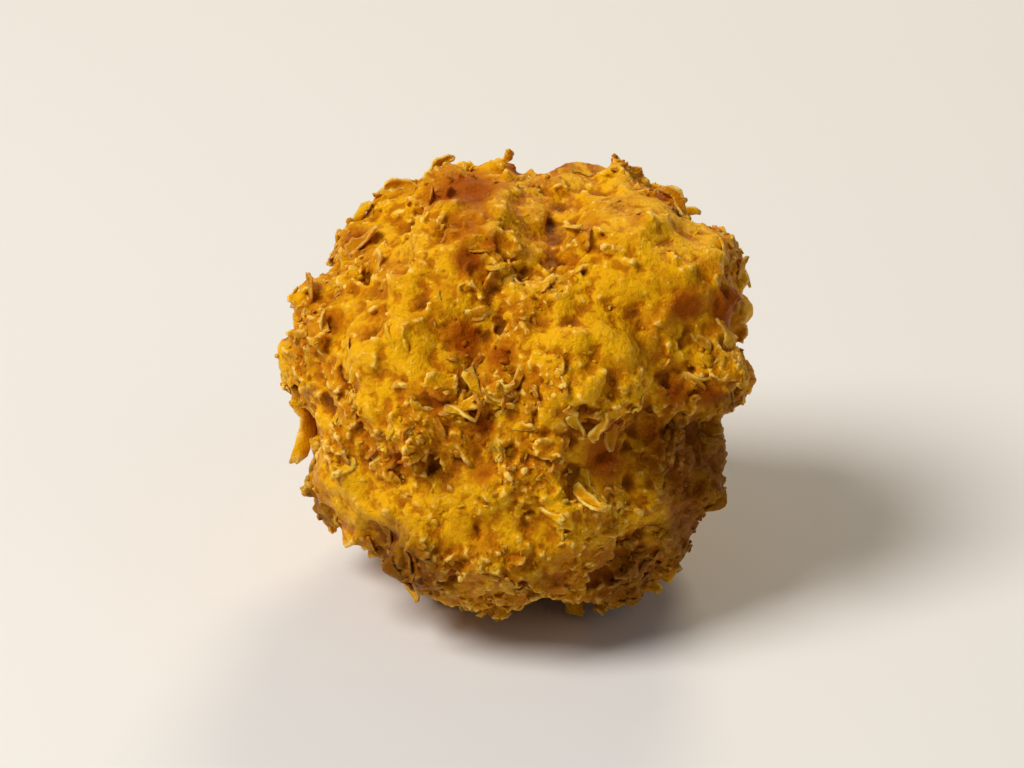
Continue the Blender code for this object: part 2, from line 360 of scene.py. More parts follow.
class Weave:
    """Adds nodes to a node tree by socket name, and joins them."""

    def __init__(self, tree):
        self.tree = tree

    def node(self, kind, sockets=None, **settings):
        made = self.tree.nodes.new(kind)
        for name, value in settings.items():
            setattr(made, name, value)
        for name, value in (sockets or {}).items():
            socket = self.socket(made.inputs, name)
            if isinstance(value, bpy.types.NodeSocket):
                self.tree.links.new(value, socket)
            else:
                socket.default_value = value
        return made

    def socket(self, sockets, name):
        if isinstance(name, int):
            return sockets[name]
        return next(socket for socket in sockets if socket.name == name and not socket.is_unavailable)

    def out(self, made, name=None):
        if name is None:
            return next(socket for socket in made.outputs if not socket.is_unavailable)
        return self.socket(made.outputs, name)

    def math(self, operation, first, second=0.0):
        return self.out(self.node("ShaderNodeMath", {0: first, 1: second}, operation=operation))

    def add(self, first, second):
        return self.math("ADD", first, second)

    def times(self, first, second):
        return self.math("MULTIPLY", first, second)

    def at_least(self, least, share):
        """The share from 0 to 1, squeezed into the run from the least to 1."""
        return self.add(least, self.times(share, 1.0 - least))

    def vector(self, operation, first, second=None, scale=None):
        sockets = {0: first}
        if second is not None:
            sockets[1] = second
        if scale is not None:
            sockets["Scale"] = scale
        made = self.node("ShaderNodeVectorMath", sockets, operation=operation)
        return self.out(made, "Value" if operation == "DOT_PRODUCT" else "Vector")

    def span(self, value, low, high, to_low=0.0, to_high=1.0):
        """The value's run from low to high, eased and mapped onto another run."""
        sockets = {"Value": value, "From Min": low, "From Max": high, "To Min": to_low, "To Max": to_high}
        return self.out(self.node("ShaderNodeMapRange", sockets, interpolation_type="SMOOTHSTEP"))

    def noise(self, at, scale, detail=2.0, roughness=0.5, distortion=0.0, kind="FBM", output="Fac"):
        sockets = {
            "Vector": at,
            "Scale": scale,
            "Detail": detail,
            "Roughness": roughness,
            "Distortion": distortion,
        }
        return self.out(self.node("ShaderNodeTexNoise", sockets, noise_type=kind), output)

    def swing(self, at, scale, height, detail=3.0):
        """Noise about zero, this much up and down."""
        return self.times(self.math("SUBTRACT", self.noise(at, scale, detail, 0.65), 0.5), 2.0 * height)

    def mix(self, factor, first, second):
        sockets = {"Factor": factor, "A": first, "B": second}
        return self.out(self.node("ShaderNodeMix", sockets, data_type="RGBA"))

    def tint(self, colour, paint, value, low, high, most):
        """The colour, turned towards the paint as the value runs from low to high, by a share at most."""
        return self.mix(self.span(value, low, high, 0.0, most), colour, paint[:])

    def attribute(self, name, data_type="FLOAT"):
        """A named attribute, read by a material or by a geometry tree."""
        if self.tree.bl_idname == "ShaderNodeTree":
            return self.node("ShaderNodeAttribute", attribute_name=name).outputs["Fac"]
        made = self.node("GeometryNodeInputNamedAttribute", {"Name": name}, data_type=data_type)
        return self.out(made, "Attribute")

    def store(self, geometry, name, value, domain="POINT", data_type="FLOAT"):
        sockets = {"Geometry": geometry, "Name": name, "Value": value}
        made = self.node("GeometryNodeStoreNamedAttribute", sockets, data_type=data_type, domain=domain)
        return self.out(made)

    def place(self):
        return self.out(self.node("GeometryNodeInputPosition"))

    def normal(self):
        return self.out(self.node("GeometryNodeInputNormal"))

    def blur(self, value, passes):
        sockets = {"Value": value, "Iterations": passes}
        return self.out(self.node("GeometryNodeBlurAttribute", sockets, data_type="FLOAT_VECTOR"))

    def random(self, low, high, seed, kind="FLOAT"):
        sockets = {"Min": low, "Max": high, "Seed": seed}
        return self.out(self.node("FunctionNodeRandomValue", sockets, data_type=kind))


def deselect_all():
    for thing in bpy.context.selected_objects:
        thing.select_set(False)


def make_active(piece):
    deselect_all()
    piece.select_set(True)
    bpy.context.view_layer.objects.active = piece


def join(pieces, name):
    """Joins the pieces into the first one, which takes this name."""
    deselect_all()
    for piece in pieces:
        piece.select_set(True)
    bpy.context.view_layer.objects.active = pieces[0]
    bpy.ops.object.join()
    pieces[0].name = name
    pieces[0].data.name = name
    return pieces[0]


def apply_all(piece):
    """Applies the piece's modifiers in order."""
    make_active(piece)
    for modifier in list(piece.modifiers):
        bpy.ops.object.modifier_apply(modifier=modifier.name)


def geometry_tree(name):
    """An empty geometry tree with its way in and its way out, as (weave, geometry in, group output)."""
    tree = bpy.data.node_groups.new(name, "GeometryNodeTree")
    tree.interface.new_socket("Geometry", in_out="INPUT", socket_type="NodeSocketGeometry")
    tree.interface.new_socket("Geometry", in_out="OUTPUT", socket_type="NodeSocketGeometry")
    weave = Weave(tree)
    way_in = weave.node("NodeGroupInput")
    way_out = weave.node("NodeGroupOutput")
    return weave, way_in.outputs["Geometry"], way_out


def run_tree(piece, weave, way_out, result):
    """Ends the tree with this result, and applies it to the piece."""
    weave.tree.links.new(result, way_out.inputs["Geometry"])
    modifier = piece.modifiers.new(weave.tree.name, "NODES")
    modifier.node_group = weave.tree
    apply_all(piece)


def finish_piece(piece, material):
    """The piece takes its material, is shaded smooth and rides with the body."""
    piece.data.materials.clear()
    piece.data.materials.append(material)
    make_active(piece)
    bpy.ops.object.shade_smooth()
    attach(piece, BODY)


def copy_of_cad_node(name):
    """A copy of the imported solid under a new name, with its loose triangles merged."""
    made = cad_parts[CAD_NODE].copy()
    made.data = made.data.copy()
    made.parent = None
    made.name = name
    made.data.name = name
    made.data.materials.clear()
    bpy.context.scene.collection.objects.link(made)
    make_active(made)
    bpy.ops.object.mode_set(mode="EDIT")
    bpy.ops.mesh.select_all(action="SELECT")
    bpy.ops.mesh.remove_doubles(threshold=MERGE_DISTANCE)
    bpy.ops.object.mode_set(mode="OBJECT")
    return made


def reskin(piece, grain, smoothing):
    """Gives the piece one new skin of this grain, and smooths it."""
    skin = piece.modifiers.new("skin", "REMESH")
    skin.mode = "VOXEL"
    skin.voxel_size = grain
    soft = piece.modifiers.new("soft", "SMOOTH")
    soft.factor = 0.5
    soft.iterations = smoothing
    apply_all(piece)


def points_of(piece):
    points = np.empty(len(piece.data.vertices) * 3, np.float32)
    piece.data.vertices.foreach_get("co", points)
    return points.reshape(-1, 3)


def press_onto_floor(piece):
    """Presses whatever reaches under the floor flat onto it."""
    points = points_of(piece)
    points[:, 2] = np.maximum(points[:, 2], 0.0)
    piece.data.vertices.foreach_set("co", points.ravel())
    piece.data.update()


def picture_point(crust, right, up):
    """The crust's point and normal at a place in the picture, and whether the place is on the crust.

    Off the crust, they are those of its nearest point.
    """
    target = HEAD_MIDDLE + PICTURE_RIGHT * right * MM + PICTURE_UP * up * MM
    hit, spot, normal, _ = crust.ray_cast(target + TOWARDS_CAMERA * REACH_OUT, -TOWARDS_CAMERA)
    if not hit:
        _, spot, normal, _ = crust.closest_point_on_mesh(target)
    return spot, normal, hit


def nearness(crust, points, shown, hidden):
    """How near each point is to the nearest of the places on the crust, from 0 to its strength."""
    near = np.zeros(len(points), np.float32)
    for right, up, radius, strength in shown:
        spot, _, _ = picture_point(crust, right, up)
        away = points - np.array(spot)
        depth = away @ np.array(TOWARDS_CAMERA)
        square = (away**2).sum(axis=1) - (1.0 - DEPTH_SHARE) * depth**2
        near = np.maximum(near, strength * np.exp(-square / (radius * MM) ** 2))
    for across, back, up, radius, strength in hidden:
        _, spot, _, _ = crust.closest_point_on_mesh(HEAD_MIDDLE + Vector((across, back, up)) * MM)
        square = ((points - np.array(spot)) ** 2).sum(axis=1)
        near = np.maximum(near, strength * np.exp(-square / (radius * MM) ** 2))
    return near.astype(np.float32)


def mark(piece, name, values):
    """Stores one value for each of the piece's points under this name."""
    layer = piece.data.attributes.get(name) or piece.data.attributes.new(name, "FLOAT", "POINT")
    layer.data.foreach_set("value", values)


def mark_places(piece, crust):
    """Marks how toasted (with a few spots of painted shadow), shaded (painted shade), plump and crumbed the
    piece is, from the lists at the top.
    """
    points = points_of(piece)
    mark(piece, "toast", nearness(crust, points, SHOWN_TOAST_AND_SHADOW, HIDDEN_TOAST))
    mark(piece, "shade", nearness(crust, points, SHOWN_SHADE, HIDDEN_SHADE))
    mark(piece, "plump", nearness(crust, points, SHOWN_PLUMP, HIDDEN_PLUMP))
    mark(piece, "crumbed", nearness(crust, points, SHOWN_CRUMBED, HIDDEN_CRUMBED))


def ruffled_share(weave, at, patch_size):
    """From 0 where the batter is plump and smooth to 1 where crumbs and ruffles cover it."""
    patches = weave.noise(at, 1.0 / patch_size, 3.0, 0.6, distortion=0.5)
    patches = weave.math("SUBTRACT", patches, weave.times(weave.attribute("plump"), PLUMP_PULL))
    patches = weave.add(patches, weave.times(weave.attribute("crumbed"), CRUMBED_PUSH))
    return weave.span(patches, *RUFFLED_RUN)


def plates(weave, at, size, tilt, step):
    """Broken plates: each cell of this size leans its own way and stands at its own height."""
    cells = weave.node("ShaderNodeTexVoronoi", {"Vector": at, "Scale": 1.0 / size}, feature="F1")
    own = weave.vector("SUBTRACT", weave.out(cells, "Color"), (0.5, 0.5, 0.5))
    away = weave.vector("SUBTRACT", at, weave.out(cells, "Position"))
    lean = weave.times(weave.vector("DOT_PRODUCT", away, own), 2.0 * tilt)
    parts = weave.node("ShaderNodeSeparateXYZ", {"Vector": own})
    return weave.add(lean, weave.times(parts.outputs["X"], step))


def swayed(weave, at):
    """The place, pushed about in wide and fine waves, so that cells and ridges wander."""
    pushed = at
    for waves, reach in WANDERS:
        push = weave.vector("SUBTRACT", weave.noise(at, waves, output="Color"), (0.5, 0.5, 0.5))
        pushed = weave.vector("ADD", pushed, weave.vector("SCALE", push, scale=reach))
    return pushed


def raise_batter(crust, settings):
    """Raises blisters and swells out of the crust, and ruffles and plates, least where it is plump."""
    mark(crust, "swell", nearness(crust, points_of(crust), SHOWN_SWELLS, ()))
    weave, geometry, way_out = geometry_tree("batter_relief")
    at = weave.vector("SCALE", weave.place(), scale=PER_MM)
    wander = swayed(weave, at)
    ruffled = ruffled_share(weave, at, settings.patch_size)
    ruffles = weave.noise(wander, 1.0 / settings.ruffle_size, 3.0, 0.55, kind="RIDGED_MULTIFRACTAL")
    ruffles = weave.times(weave.span(ruffles, *RIDGE_RUN), settings.ruffle_height)
    rough = weave.add(ruffles, plates(weave, wander, PLATE_SIZE, PLATE_TILT, PLATE_STEP))
    rough = weave.times(rough, weave.at_least(RUFFLES_ON_PLUMP, ruffled))
    cells = {"Vector": wander, "Scale": BLISTER_WAVES}
    blisters = weave.out(weave.node("ShaderNodeTexVoronoi", cells, feature="SMOOTH_F1"))
    rise = weave.add(rough, weave.span(blisters, *BLISTER_RUN, 0.0, BLISTER_HEIGHT))
    rise = weave.add(weave.math("SUBTRACT", rise, LET_DOWN), weave.attribute("swell"))
    offset = weave.vector("SCALE", weave.normal(), scale=weave.times(rise, MM))
    raised = weave.out(weave.node("GeometryNodeSetPosition", {"Geometry": geometry, "Offset": offset}))
    raised = weave.store(raised, "ruffled", ruffled)
    even = weave.blur(weave.normal(), BATTER_BLUR)
    raised = weave.store(raised, "even_normal", even, data_type="FLOAT_VECTOR")
    run_tree(crust, weave, way_out, raised)


def measure_relief(crust, settings):
    """Adds the fine grain, and marks how proud of its surroundings each point stands at three scales."""
    weave, geometry, way_out = geometry_tree("relief_measures")
    at = weave.vector("SCALE", weave.place(), scale=PER_MM)
    ruffled = ruffled_share(weave, at, settings.patch_size)
    creases = weave.swing(swayed(weave, at), CREASE_WAVES, settings.grain_height, 3.0)
    fine = weave.swing(at, GRAIN_WAVES, GRAIN_SHARE * settings.grain_height, 2.0)
    grain = weave.times(weave.add(creases, fine), weave.at_least(GRAIN_ON_PLUMP, ruffled))
    offset = weave.vector("SCALE", weave.normal(), scale=weave.times(grain, MM))
    made = weave.out(weave.node("GeometryNodeSetPosition", {"Geometry": geometry, "Offset": offset}))
    made = weave.store(made, "ruffled", ruffled)
    even = weave.blur(weave.normal(), CRUST_BLUR)
    made = weave.store(made, "even_normal", even, data_type="FLOAT_VECTOR")
    for name, passes in RISE_BLURS.items():
        apart = weave.vector("SUBTRACT", weave.place(), weave.blur(weave.place(), passes))
        proud = weave.times(weave.vector("DOT_PRODUCT", apart, weave.normal()), PER_MM)
        made = weave.store(made, name, proud)
    run_tree(crust, weave, way_out, made)
    for name in RISE_BLURS:
        values = np.empty(len(crust.data.vertices), np.float32)
        crust.data.attributes[name].data.foreach_get("value", values)
        mark(crust, name, values / values.std())


def keep_largest_shell(piece):
    """Deletes whatever isn't joined to the piece's largest shell."""
    weave, geometry, way_out = geometry_tree("shells")
    island = weave.node("GeometryNodeInputMeshIsland").outputs["Island Index"]
    run_tree(piece, weave, way_out, weave.store(geometry, "shell", island))
    shells = np.empty(len(piece.data.vertices), np.float32)
    piece.data.attributes["shell"].data.foreach_get("value", shells)
    shells = shells.astype(int)
    piece.data.vertices.foreach_set("select", shells != np.bincount(shells).argmax())
    piece.data.attributes.remove(piece.data.attributes["shell"])
    make_active(piece)
    bpy.context.tool_settings.mesh_select_mode = (True, False, False)
    bpy.ops.object.mode_set(mode="EDIT")
    bpy.ops.mesh.delete(type="VERT")
    bpy.ops.object.mode_set(mode="OBJECT")


def thin_out(piece, most_triangles):
    """Merges faces, the flattest first, until no more than this many triangles are left."""
    triangles = sum(len(polygon.vertices) - 2 for polygon in piece.data.polygons)
    if triangles > most_triangles:
        fewer = piece.modifiers.new("fewer", "DECIMATE")
        fewer.ratio = most_triangles / triangles
        fewer.use_collapse_triangulate = True
        apply_all(piece)


def toasted_colour(weave, settings, at, colour, share):
    """Adds the toasted spots, with ragged edges, to a colour, and in the same colours the listed spots of
    painted shadow.
    """
    toast = weave.add(weave.attribute("toast"), weave.swing(at, 0.5, 0.36, 4.0))
    colour = weave.tint(colour, settings.amber, toast, 0.12, 0.4, 0.8 * share)
    return weave.tint(colour, settings.toasted, toast, 0.32, 0.66, 0.92 * share)


def shaded_colour(weave, settings, at, colour):
    """Paints shade into a colour: brown in the listed folds and lower lobes, where shade falls."""
    shade = weave.add(weave.attribute("shade"), weave.swing(at, 0.35, 0.2))
    return weave.tint(colour, settings.painted_shade, shade, 0.05, 0.8, 0.8)


def rim_highlight_colour(weave, settings, at, colour, run, least, most):
    """Paints a highlight on a flake's rim unevenly, by this share at least and at most."""
    highlight_share = weave.span(weave.noise(at, 0.9, 2.0), *run, least, most)
    return weave.mix(weave.times(weave.attribute("rim"), highlight_share), colour, settings.pale[:])


def batter_colour(weave, settings, at):
    """Golden batter: yellow where it is plump, and mottled, with painted shade: darker gold where it is
    ruffled, between the flakes, and amber in the hollows.
    """
    ruffled = weave.attribute("ruffled")
    # Painted shade between the flakes: ruffled batter turns darker gold and more amber.
    hue = weave.math("SUBTRACT", weave.noise(at, 0.17, 3.0, 0.6), weave.times(ruffled, 0.12))
    colour = weave.mix(weave.span(hue, 0.34, 0.52), settings.golden[:], settings.yellow[:])
    mottle = weave.math("SUBTRACT", weave.noise(at, 0.45, 5.0, 0.75), weave.times(ruffled, 0.02))
    mottle = weave.add(mottle, weave.times(weave.attribute("plump"), 0.07))
    colour = weave.tint(colour, settings.amber, mottle, 0.50, 0.34, 0.8)
    speckle = weave.noise(at, 1.3, 4.0, 0.7)
    colour = weave.tint(colour, settings.amber, speckle, 0.43, 0.28, 0.6)
    # Painted shade: amber in the broad hollows.
    return weave.tint(colour, settings.amber, weave.attribute("broad_rise"), -0.2, -1.8, 0.6)


def crust_colour(weave, settings, at):
    """The crust: batter, with painted shade in the grooves and hollows, painted light on the small peaks,
    painted highlights on thin edges, red-brown where it is toasted and in a few spots of painted shadow,
    and painted shade in the listed places.
    """
    edge = weave.attribute("edge_rise")
    fine = weave.attribute("fine_rise")
    broad = weave.attribute("broad_rise")
    colour = batter_colour(weave, settings, at)
    # Painted shade: amber in the fine grooves.
    colour = weave.tint(colour, settings.amber, fine, 0.2, -0.9, 0.85)
    # Painted light: yellow on the small peaks.
    colour = weave.tint(colour, settings.yellow, fine, 0.8, 2.0, 0.5)
    # Painted highlight on thin edges.
    colour = weave.tint(colour, settings.pale, edge, 0.8, 2.3, 0.75)
    colour = toasted_colour(weave, settings, at, colour, 0.95)
    # Painted shade: dark brown in the fine grooves and the broad hollows.
    colour = weave.tint(colour, settings.painted_shade, fine, -0.9, -2.4, 0.6)
    colour = weave.tint(colour, settings.painted_shade, broad, -0.8, -2.2, 0.8)
    return shaded_colour(weave, settings, at, colour)


def flake_colour(weave, settings, at):
    """A loose flake or crumb: the batter's colour varied from one to the next, with a painted highlight on
    its rim, toasted spots, and painted shade where listed.
    """
    own = weave.attribute("flake_tone")
    colour = batter_colour(weave, settings, at)
    colour = weave.tint(colour, settings.yellow, own, 0.45, 0.0, 0.6)
    colour = weave.tint(colour, settings.amber, own, 0.6, 0.95, 0.8)
    colour = weave.tint(colour, settings.toasted, own, 0.9, 1.0, 0.35)
    colour = rim_highlight_colour(weave, settings, at, colour, (0.42, 0.62), 0.05, 0.55)
    return shaded_colour(weave, settings, at, toasted_colour(weave, settings, at, colour, 0.85))


def shown_flake_colour(weave, settings, at):
    """A flake that stands out: bright, with a painted highlight on its rim, hardly toasted, and with
    painted shade where listed.
    """
    hue = weave.span(weave.noise(at, 0.5, 3.0), 0.4, 0.6)
    colour = weave.mix(hue, settings.golden[:], settings.yellow[:])
    colour = rim_highlight_colour(weave, settings, at, colour, (0.38, 0.6), 0.3, 0.9)
    return shaded_colour(weave, settings, at, toasted_colour(weave, settings, at, colour, 0.4))


def fried_material(name, settings, colour_of, roughness, bump_waves, glow):
    """A fried surface in the given colour, with an uneven oily shine and a crumbly bump.

    The roughness is its least and most, and the bump has this many waves for each millimetre.
    """
    material = bpy.data.materials.new(name)
    material.use_nodes = True
    weave = Weave(material.node_tree)
    shader = material.node_tree.nodes["Principled BSDF"]
    place = weave.node("ShaderNodeTexCoord").outputs["Object"]
    at = weave.vector("SCALE", place, scale=PER_MM)
    weave.tree.links.new(colour_of(weave, settings, at), shader.inputs["Base Color"])
    uneven = weave.span(weave.noise(at, 0.8, 2.0), 0.35, 0.65, *roughness)
    uneven = weave.add(uneven, weave.times(weave.attribute("toast"), TOAST_ROUGHNESS))
    weave.tree.links.new(uneven, shader.inputs["Roughness"])
    creases = weave.times(weave.noise(at, 0.33 * bump_waves, 3.0, 0.6, distortion=0.6), 2.0)
    height = weave.add(creases, weave.times(weave.noise(at, bump_waves, 3.0, 0.65), 0.7))
    sockets = {"Strength": BUMP_STRENGTH, "Distance": BUMP_HEIGHT, "Height": height}
    bump = weave.node("ShaderNodeBump", sockets)
    weave.tree.links.new(bump.outputs["Normal"], shader.inputs["Normal"])
    for socket, value in (
        ("Metallic", 0.0),
        ("Specular IOR Level", SHINE_LEVEL),
        ("Specular Tint", settings.shine[:]),
        ("Subsurface Weight", glow),
        ("Subsurface Radius", GLOW_COLOURS),
        ("Subsurface Scale", GLOW_DEPTH),
    ):
        shader.inputs[socket].default_value = value
    return material


def border_corners(mesh):
    """The numbers of the vertices on the mesh's open border."""
    uses = np.zeros(len(mesh.edges), int)
    for polygon in mesh.polygons:
        for loop in polygon.loop_indices:
            uses[mesh.loops[loop].edge_index] += 1
    return {corner for edge, count in zip(mesh.edges, uses) if count == 1 for corner in edge.vertices}


def model_flake(name, length, width, thickness, gutter, lift, twist, seed, cuts):
    """One flake: ragged, drooping along, hollowed or arched across, with one end that may lift."""
    deselect_all()
    bpy.ops.mesh.primitive_grid_add(x_subdivisions=cuts[0], y_subdivisions=cuts[1], size=1.0)
    flake = bpy.context.object
    flake.name = name
    flake.data.name = name
    bpy.ops.object.mode_set(mode="EDIT")
    bpy.ops.mesh.select_all(action="SELECT")
    bpy.ops.transform.resize(value=(length, width, 1.0))
    bpy.ops.object.mode_set(mode="OBJECT")
    for vertex in flake.data.vertices:
        along = vertex.co.x / length
        vertex.co.y *= END_WIDTH + (1.0 - END_WIDTH) * math.sqrt(max(1.0 - 4.0 * along * along, 0.0))
        vertex.co.y += SWERVE * length * math.cos(4.0 * along + 2.0 * seed)
    bpy.ops.object.mode_set(mode="EDIT")
    bpy.ops.mesh.select_all(action="SELECT")
    bpy.ops.transform.vertex_random(offset=RAGGED * width, uniform=0.5, normal=0.0, seed=seed)
    bpy.ops.object.mode_set(mode="OBJECT")
    layer = flake.data.attributes.new("rim", "FLOAT", "POINT")
    for corner in border_corners(flake.data):
        layer.data[corner].value = 1.0
    for vertex in flake.data.vertices:
        along = 2.0 * vertex.co.x / length
        aside = 2.0 * vertex.co.y / width
        rise = -DROOP * along * along * length / 2.0 + gutter * aside * aside * width
        rise += lift * max(along, 0.0) ** 2 * length / 2.0
        rise += vertex.co.y * math.sin(twist * along)
        vertex.co.z = rise
    wall = flake.modifiers.new("wall", "SOLIDIFY")
    wall.thickness = thickness
    wall.offset = 0.0
    apply_all(flake)
    return flake


def flake_kinds(sort, seed):
    """Six flakes of one sort, each longer and narrower than the one before, and curled its own way."""
    middle = (len(GUTTERS) - 1) / 2
    return [
        model_flake(
            f"{sort.name}_{kind}",
            sort.length * MM * (SHORTEST + KIND_STEP * kind),
            sort.width * MM * (WIDEST - KIND_STEP * kind),
            sort.thickness * MM,
            GUTTERS[kind],
            LIFTS[kind],
            (kind - middle) * KIND_TWIST,
            seed + kind,
            sort.cuts,
        )
        for kind in range(len(GUTTERS))
    ]


def model_crumb(name, size, seed):
    """One crumb: a lump knocked out of round."""
    deselect_all()
    bpy.ops.mesh.primitive_ico_sphere_add(subdivisions=1, radius=size / 2.0)
    crumb = bpy.context.object
    crumb.name = name
    crumb.data.name = name
    bpy.ops.object.mode_set(mode="EDIT")
    bpy.ops.mesh.select_all(action="SELECT")
    bpy.ops.transform.resize(value=CRUMB_FORM)
    bpy.ops.transform.vertex_random(offset=CRUMB_RAGGED * size, uniform=0.2, normal=0.3, seed=seed)
    bpy.ops.object.mode_set(mode="OBJECT")
    return crumb


def share_of_crust(weave):
    """How thickly things lie: thinly near the floor and on plump batter, and less on toasted spots and
    spots of painted shadow.
    """
    height = weave.node("ShaderNodeSeparateXYZ", {"Vector": weave.place()}).outputs["Z"]
    off_floor = weave.span(height, *CLEAR_OF_FLOOR)
    rough = weave.at_least(CRUMBS_ON_PLUMP, weave.attribute("ruffled"))
    bare = weave.span(weave.attribute("toast"), 0.35, 0.8, 1.0, 0.7)
    return weave.times(weave.times(off_floor, rough), bare)


def scatter(crust, sort, kinds, sizes, seed):
    """Lays copies of the kinds over the crust, as one joined mesh, and removes the kinds."""
    group = bpy.data.collections.new(sort.name + "_kinds")
    bpy.context.scene.collection.children.link(group)
    for kind in kinds:
        for old in list(kind.users_collection):
            old.objects.unlink(kind)
        group.objects.link(kind)
    made = crust.copy()
    made.data = crust.data.copy()
    made.name = sort.name
    made.data.name = sort.name
    made.parent = None
    for note in list(made.keys()):
        del made[note]
    bpy.context.scene.collection.objects.link(made)
    weave, geometry, way_out = geometry_tree(sort.name + "_scatter")
    density = sort.density * PER_MM * PER_MM
    sockets = {"Mesh": geometry, "Seed": seed}
    if sort.apart:
        sockets["Distance Min"] = sort.apart * MM
        sockets["Density Max"] = density
        sockets["Density Factor"] = share_of_crust(weave)
    else:
        sockets["Density"] = weave.times(share_of_crust(weave), density)
    method = "POISSON" if sort.apart else "RANDOM"
    points = weave.node("GeometryNodeDistributePointsOnFaces", sockets, distribute_method=method)
    sink = weave.random(-sort.sink * MM, 0.3 * sort.sink * MM, seed + 1)
    placed = weave.node("GeometryNodeSetPosition", {
        "Geometry": points.outputs["Points"],
        "Offset": weave.vector("SCALE", points.outputs["Normal"], scale=sink),
    })
    upright = weave.node("FunctionNodeAlignRotationToVector", {
        "Vector": weave.attribute("even_normal", "FLOAT_VECTOR"),
    }, axis="Z")
    spin = weave.node("FunctionNodeAxisAngleToRotation", {
        "Axis": (0.0, 0.0, 1.0),
        "Angle": weave.random(-math.pi, math.pi, seed + 2),
    })
    most = Vector((sort.lean, sort.lean, 0.0))
    lean = weave.node("FunctionNodeEulerToRotation", {
        "Euler": weave.random(-most, most, seed + 3, "FLOAT_VECTOR"),
    })
    spun = weave.node("FunctionNodeRotateRotation", {
        "Rotation": upright.outputs[0],
        "Rotate By": spin.outputs[0],
    }, rotation_space="LOCAL")
    turned = weave.node("FunctionNodeRotateRotation", {
        "Rotation": spun.outputs[0],
        "Rotate By": lean.outputs[0],
    }, rotation_space="LOCAL")
    picked = weave.node("GeometryNodeCollectionInfo", {
        "Collection": group,
        "Separate Children": True,
        "Reset Children": True,
    })
    copies = weave.node("GeometryNodeInstanceOnPoints", {
        "Points": weave.out(placed),
        "Instance": picked.outputs[0],
        "Pick Instance": True,
        "Instance Index": weave.random(0, len(kinds) - 1, seed + 4, "INT"),
        "Rotation": turned.outputs[0],
        "Scale": weave.random(sizes[0], sizes[1], seed + 5),
    })
    toned = weave.store(weave.out(copies), "flake_tone", weave.random(0.0, 1.0, seed + 6), "INSTANCE")
    real = weave.node("GeometryNodeRealizeInstances", {"Geometry": toned})
    run_tree(made, weave, way_out, real.outputs[0])
    for kind in kinds:
        bpy.data.objects.remove(kind)
    bpy.data.collections.remove(group)
    press_onto_floor(made)
    return made


def scatter_sorts(crust, sorts, sizes, seed):
    """Scatters each sort of flake over the crust, as a piece of its own."""
    return [
        scatter(
            crust,
            sort,
            flake_kinds(sort, seed + KIND_SEEDS_PER_SORT * order),
            sizes,
            seed + SEEDS_PER_SORT * order,
        )
        for order, sort in enumerate(sorts)
    ]


class CrustSettings(bpy.types.PropertyGroup):
    """Sizes and colours of the crust."""

    batter_grain: FloatProperty(
        name="Batter grain",
        description="Spacing of the batter's mesh",
        default=0.45 * MM,
        subtype="DISTANCE",
    )
    crust_grain: FloatProperty(
        name="Crust grain",
        description="Spacing of the fused crust's mesh",
        default=0.24 * MM,
        subtype="DISTANCE",
    )
    ruffle_size: FloatProperty(
        name="Ruffle size", description="Width of a ruffle, in millimetres", default=2.1, min=0.2
    )
    ruffle_height: FloatProperty(
        name="Ruffle height", description="Height of the ruffles, in millimetres", default=0.85, min=0.0
    )
    grain_height: FloatProperty(
        name="Grain height", description="Height of the fine grain, in millimetres", default=0.30, min=0.0
    )
    patch_size: FloatProperty(
        name="Patch size",
        description="Size of smooth and ruffled patches, in millimetres",
        default=7.0,
        min=0.5,
    )
    golden: FloatVectorProperty(
        name="Golden",
        description="Colour of the batter in between",
        default=(0.62, 0.245, 0.002, 1.0),
        size=4,
        subtype="COLOR",
    )
    # Yellow: plump batter, and painted light on the small peaks.
    yellow: FloatVectorProperty(
        name="Yellow",
        description="Colour of plump batter",
        default=(0.80, 0.40, 0.003, 1.0),
        size=4,
        subtype="COLOR",
    )
    # Amber: the batter's own tone in mottles, speckles, flakes and early toasting, and painted shade in
    # grooves, hollows and ruffled batter.
    amber: FloatVectorProperty(
        name="Amber",
        description="Colour beside grooves",
        default=(0.47, 0.135, 0.001, 1.0),
        size=4,
        subtype="COLOR",
    )
    # Painted shade: the brown that stands in for shade in grooves, hollows and the listed shaded places.
    painted_shade: FloatVectorProperty(
        name="Deep",
        description="Colour in the grooves",
        default=(0.14, 0.028, 0.0005, 1.0),
        size=4,
        subtype="COLOR",
    )
    toasted: FloatVectorProperty(
        name="Toasted",
        description="Colour of toasted spots",
        default=(0.31, 0.052, 0.0005, 1.0),
        size=4,
        subtype="COLOR",
    )
    # Painted highlight on thin edges and flake rims.
    pale: FloatVectorProperty(
        name="Pale",
        description="Colour of thin edges",
        default=(0.98, 0.66, 0.16, 1.0),
        size=4,
        subtype="COLOR",
    )
    shine: FloatVectorProperty(
        name="Shine",
        description="Tint of the oily shine",
        default=(1.0, 0.70, 0.15, 1.0),
        size=4,
        subtype="COLOR",
    )


class CrumbSettings(bpy.types.PropertyGroup):
    """How many crumbs lie on the crust, and where the random draws start."""

    density: FloatProperty(
        name="Crumbs", description="Crumbs on each square millimetre", default=0.35, min=0.0
    )
    size: FloatProperty(
        name="Crumb size", description="Width of a crumb", default=0.6 * MM, subtype="DISTANCE"
    )
    seed: IntProperty(name="Seed", description="Start of the random draws", default=7, min=0)


class StageSettings(bpy.types.PropertyGroup):
    """The camera and the floor."""

    distance: FloatProperty(
        name="Distance",
        description="From the floret's middle to the camera",
        default=0.7,
        subtype="DISTANCE",
    )
    field: FloatProperty(
        name="Field", description="Width of the picture at the floret", default=0.104, subtype="DISTANCE"
    )
    floor: FloatVectorProperty(
        name="Floor",
        description="Colour of the floor",
        default=(0.74, 0.73, 0.71, 1.0),
        size=4,
        subtype="COLOR",
    )


class FloretSettings(bpy.types.PropertyGroup):
    """All of the floret's settings."""

    crust: PointerProperty(type=CrustSettings)
    crumbs: PointerProperty(type=CrumbSettings)
    stage: PointerProperty(type=StageSettings)


